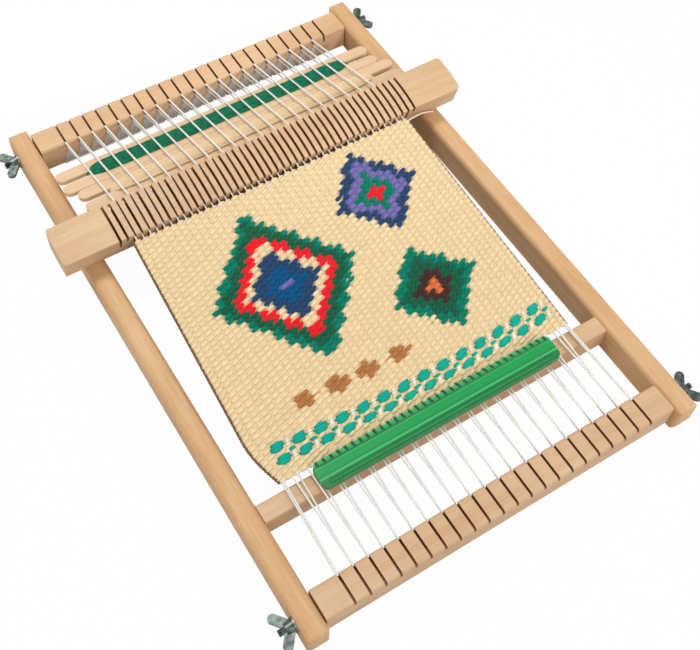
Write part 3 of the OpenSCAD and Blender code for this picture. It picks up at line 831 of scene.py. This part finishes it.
# %% painted shade at the edges, and the back
for y in ROWS:
    # painted shade: dark stitches along both edges of the cloth
    face_work.put(column_x(-0.52, y), y, 1.0, 1.3, "umber", lean=0.0, lift=-0.5)
    face_work.put(column_x(COLUMNS - 0.56, y), y, 0.7, 1.3, "umber", lean=0.0, lift=-0.6)
tabby(back_work, odd=0, high=0.6, lift=-0.55, ovals=False)
face = face_work.knit("cloth_face")
back = back_work.knit("cloth_back")
print(len(face_work.points), "stitches on the face,", len(back_work.points), "on the back")

# %% [markdown]
# Under the stitches lies the sheet itself: it closes the small gaps between them and carries the cloth's
# real size. It takes the same colours from the chart with painted shade, darker and warmer, because it lies
# in the hollows.

# %% the painted shade of the hollows
hollow, tree, shader = new_finish("weave_hollow_shade", {"Roughness": 0.95})
fibre = tree.noise(tree.place(), 0.0006, 2)
shade = tree.vary(fibre, 0.84, 0.2)
# painted shade: the chart's colour made darker and warmer in the hollows
tone = tree.tinted(tree.read("ink", "Color"), shade, tree.times(shade, 0.95), tree.times(shade, 0.86))
tree.put(shader.inputs["Base Color"], tone)
tree.put(shader.inputs["Normal"], tree.bump(fibre, 0.0001, 0.6))
print("hollows with", len(hollow.node_tree.nodes), "nodes")

# %% [markdown]
# The sheet has a point at every warp end of every pass, so it bows and bulges with the stitches. It is
# stretched by the warp on both sides and so keeps its flat size.

# %% the sheet under the stitches
columns = [-0.45] + list(range(COLUMNS)) + [COLUMNS - 0.55]
heights = [NEAR_EDGE] + ROWS[1:]
flat = [(column_x(c, y), y) for y in heights for c in columns]
wide = len(columns)
corners = [r * wide + c for r in range(len(heights) - 1) for c in range(wide - 1)]
faces = [(n, n + 1, n + 1 + wide, n + wide) for n in corners]
mesh = bpy.data.meshes.new("cloth_sheet")
mesh.from_pydata([on_cloth(x, y) for x, y in flat], [], faces)
carry(mesh, "ink", "FLOAT_COLOR", "color", [INK[ink(x, y)] for x, y in flat])
mesh.materials.append(hollow)
mesh.shade_smooth()
sheet = bpy.data.objects.new("cloth_sheet", mesh)
scene.collection.objects.link(sheet)
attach(sheet, "cloth")
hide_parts("cloth")
print("sheet of", len(faces), "faces")

# %% [markdown]
# A saw leaves rough end grain, which is darker than the planed faces, and the slots lie in shade, so the
# colour of their walls and floors is partly darker end grain and partly painted shade. The slots are real,
# but their walls are part of the same solid as the faces, so the finish has to find them: by the way they
# face, and by the pitch.

# %% saw cuts, darkened with painted shade
def saw_cuts(tree, place, pitch, cut, reach):
    """1 on the walls and floors of the saw cuts across a bar, 0 elsewhere"""
    facing = tree.axes(tree.add("ShaderNodeTexCoord").outputs["Normal"])
    x = tree.axes(place)[0]
    share = tree.math("FRACT", tree.math("DIVIDE", x, pitch))
    off = tree.times(tree.math("ABSOLUTE", tree.math("SUBTRACT", share, 0.5)), pitch)
    wall = tree.math("GREATER_THAN", tree.math("ABSOLUTE", facing[0]), 0.7)
    floor = tree.times(tree.math("LESS_THAN", off, cut / 2 - 0.00001),
                       tree.math("GREATER_THAN", facing[2], 0.5))
    inside = tree.math("LESS_THAN", tree.math("ABSOLUTE", x), reach)
    return tree.times(tree.math("MAXIMUM", wall, floor), inside)


BEAM_CUTS, BAR_CUTS = (0.01, 0.0016, 0.107), (0.005, 0.0018, 0.114)
print("cuts every", BEAM_CUTS[0], "m on the beams and every", BAR_CUTS[0], "m on the bar")

# %% [markdown]
# The frame is beech: pale, slightly pink, with a fine straight grain and short dark flecks. The grain is
# noise drawn out along the piece, so there is one wood for pieces that lie along Y and others for those
# along X.

# %% beech
STREAK, FLECK_STREAK = 0.07, 0.25
FLECK, SAWN_AND_SHADED = linear(160, 108, 72), linear(158, 102, 72)


def drawn_out(tree, place, along, share):
    """a place with one axis squeezed, so that noise runs in streaks along it"""
    squeeze = [1.0, 1.0, 1.0]
    squeeze[along] = share
    return tree.add("ShaderNodeVectorMath", {0: place, 1: squeeze}, operation="MULTIPLY").outputs[0]


def beech(name, along, pale, deep, shift, cuts):
    """along is 0 for grain along X, 1 along Y; shift moves the pattern, so no two pieces are alike"""
    material, tree, shader = new_finish(name, {"Specular IOR Level": 0.35})
    place = tree.place()
    moved = tree.add("ShaderNodeVectorMath", {0: place, 1: (shift, shift * 1.7, shift * 0.6)},
                     operation="ADD").outputs[0]
    drawn = drawn_out(tree, moved, along, STREAK)
    cloud = tree.noise(moved, 0.09, 3)
    bands = tree.noise(drawn, 0.0065, 3, 0.6)
    lines = tree.noise(drawn, 0.0013, 3, 0.65)
    fleck = tree.span(tree.noise(drawn_out(tree, moved, along, FLECK_STREAK), 0.0008, 1), 0.68, 0.78)
    share = tree.math("ADD", tree.times(bands, 0.55), tree.times(lines, 0.45))
    share = tree.math("ADD", share, tree.vary(cloud, -0.18, 0.36))
    tone = tree.mix(tree.span(share, 0.3, 0.72), pale, deep)
    tone = tree.mix(tree.times(fleck, 0.3), tone, FLECK)
    if cuts:
        # darker end grain and painted shade on the walls and floors of the slots
        tone = tree.mix(saw_cuts(tree, place, *cuts), tone, SAWN_AND_SHADED)
    tree.put(shader.inputs["Base Color"], tone)
    tree.put(shader.inputs["Roughness"], tree.span(lines, 0.2, 0.8, 0.42, 0.6))
    tree.put(shader.inputs["Normal"], tree.bump(tree.vary(fleck, lines, -0.5), 0.00005, 0.5))
    return material


print("the streaks of one board are", round(1 / STREAK), "times longer than wide")

# %% [markdown]
# Solids that have the right shape stay as they are and only get a finish in their material slots. Each
# wooden piece was cut from another board, so each has its own shift of the grain, and the tones of beams,
# rails, bar and shuttles differ a little.

# %% dress the wood
def dress(material, *names):
    for name in names:
        slots = nodes[name].data.materials
        slots.clear()
        slots.append(material)


RAIL_WOOD = (linear(224, 185, 139), linear(202, 152, 101))
BEAM_WOOD = (linear(222, 189, 151), linear(204, 161, 120))
FAR_BEAM_WOOD = (linear(228, 191, 150), linear(210, 165, 122))
BAR_WOOD = (linear(221, 187, 147), linear(203, 162, 120))
SHUTTLE_WOOD = (linear(236, 206, 168), linear(222, 184, 144))
boards = [(["left_rail"], 1, RAIL_WOOD, 0.31, None),
          (["right_rail"], 1, RAIL_WOOD, 1.13, None),
          (["lower_beam"], 0, BEAM_WOOD, 2.47, BEAM_CUTS),
          (["upper_beam"], 0, FAR_BEAM_WOOD, 3.91, BEAM_CUTS),
          (["stretcher", "stretcher_dowels"], 0, BEAM_WOOD, 5.03, None),
          (["shed_bar"], 0, BAR_WOOD, 6.37, BAR_CUTS),
          (["far_shuttle"], 0, SHUTTLE_WOOD, 7.7, None),
          (["near_shuttle"], 0, SHUTTLE_WOOD, 9.2, None)]
for names, along, (pale, deep), shift, cuts in boards:
    dress(beech("beech_" + names[0], along, pale, deep, shift, cuts), *names)
print("beech from", len(boards), "boards")

# %% [markdown]
# Zinc plating is a dull grey-green metal with cloudy patches. The threads of the bolts are too fine to
# model one by one, so a wave along the bolt does it in the surface.

# %% zinc
THREAD_PITCH, ZINC_CLOUD = 0.0008, linear(140, 152, 145)


def zinc(name, tone, threaded):
    material, tree, shader = new_finish(name, {"Metallic": 0.9})
    place = tree.place()
    cloud = tree.noise(place, 0.004, 3)
    tree.put(shader.inputs["Base Color"], tree.mix(tree.span(cloud, 0.35, 0.7), tone, ZINC_CLOUD))
    tree.put(shader.inputs["Roughness"], tree.span(cloud, 0.25, 0.75, 0.3, 0.5))
    height, distance = tree.noise(place, 0.0004, 2), 0.00004
    if threaded:
        height = tree.math("SINE", tree.times(tree.axes(place)[0], 2 * math.pi / THREAD_PITCH))
        distance = 0.0002
    tree.put(shader.inputs["Normal"], tree.bump(height, distance, 0.8))
    return material


ends = [beam + "_" + side for beam in ("lower", "upper") for side in ("left", "right")]
metals = [("nut", linear(80, 90, 85), False), ("washer", linear(150, 156, 150), False),
          ("bolt", linear(58, 60, 56), True)]
for part, tone, threaded in metals:
    dress(zinc("zinc_" + part, tone, threaded), *[end + "_" + part for end in ends])
print("zinc on", len(metals) * len(ends), "pieces")

# %% [markdown]
# The comb is moulded in one glossy green. Its two ridges and the flank that slopes towards the weaver each
# catch the light in their own way, so highlights on the ridges and shade on the flank and in the groove are
# painted into the colour, which follows the place across the comb, in millimetres from its middle.

# %% painted highlights and shade on the comb's ridges
COMB_Y, COMB_EDGE = -0.129, 8.5
BASE, RIDGE_HIGHLIGHT, COMB_GROOVE_SHADE, FLANK_SHADE = linear(14, 154, 76), linear(62, 186, 106), linear(10, 118, 58), linear(8, 128, 62)
# painted highlights and painted shade across the comb, from the weaver's edge to the far edge
RIDGE_LIGHT_AND_SHADE = [(-8.5, FLANK_SHADE), (-3.9, FLANK_SHADE), (-3.3, RIDGE_HIGHLIGHT), (-2.6, RIDGE_HIGHLIGHT), (-1.8, COMB_GROOVE_SHADE), (-1.0, BASE), (3.2, BASE),
          (3.9, RIDGE_HIGHLIGHT), (4.5, COMB_GROOVE_SHADE), (5.2, BASE), (6.6, RIDGE_HIGHLIGHT), (7.6, RIDGE_HIGHLIGHT)]
plastic, tree, shader = new_finish("comb_green", {"Specular IOR Level": 0.5})
place = tree.place()
apart = tree.axes(place)
across = tree.math("SUBTRACT", apart[1], COMB_Y)
painted_ridge_light = tree.add("ShaderNodeValToRGB", {"Fac": tree.span(across, -COMB_EDGE * MM, COMB_EDGE * MM)})
marks = painted_ridge_light.color_ramp.elements
while len(marks) < len(RIDGE_LIGHT_AND_SHADE):
    marks.new(0.5)
for mark, (out, colour) in zip(marks, RIDGE_LIGHT_AND_SHADE):
    mark.position = (out + COMB_EDGE) / (2 * COMB_EDGE)
    mark.color = colour
print("comb with", len(marks), "stops of green")

# %% [markdown]
# Between the teeth the far edge is open and lies in shade. The teeth are real, but seen from above they are
# only slits, so the finish paints that shade dark green at the same pitch. Light scuffs break the gloss.

# %% painted shade in the comb's notches, and its gloss
TOOTH_PITCH, TOOTH_START, NOTCH = 0.00497, 0.0015, 0.19
NOTCH_NEAR, NOTCH_FAR = 0.0048, 0.0086
cloud = tree.noise(place, 0.03, 3)
scuff = tree.noise(place, 0.0008, 3)
share = tree.math("FRACT", tree.math("DIVIDE", tree.math("ADD", apart[0], TOOTH_START), TOOTH_PITCH))
gap = tree.math("LESS_THAN", tree.math("ABSOLUTE", tree.math("SUBTRACT", share, 0.5)), NOTCH)
edge = tree.times(tree.math("GREATER_THAN", across, NOTCH_NEAR), tree.math("LESS_THAN", across, NOTCH_FAR))
# painted shade: dark green in the open notches between the teeth
tone = tree.mix(tree.times(gap, edge), painted_ridge_light.outputs["Color"], linear(16, 76, 40))
shade = tree.vary(cloud, 0.92, 0.16)
tree.put(shader.inputs["Base Color"], tree.tinted(tone, shade, shade, shade))
tree.put(shader.inputs["Roughness"], tree.span(scuff, 0.3, 0.7, 0.24, 0.4))
tree.put(shader.inputs["Normal"], tree.bump(scuff, 0.00002, 0.3))
dress(plastic, "comb")
print("comb dressed with", len(plastic.node_tree.nodes), "nodes")
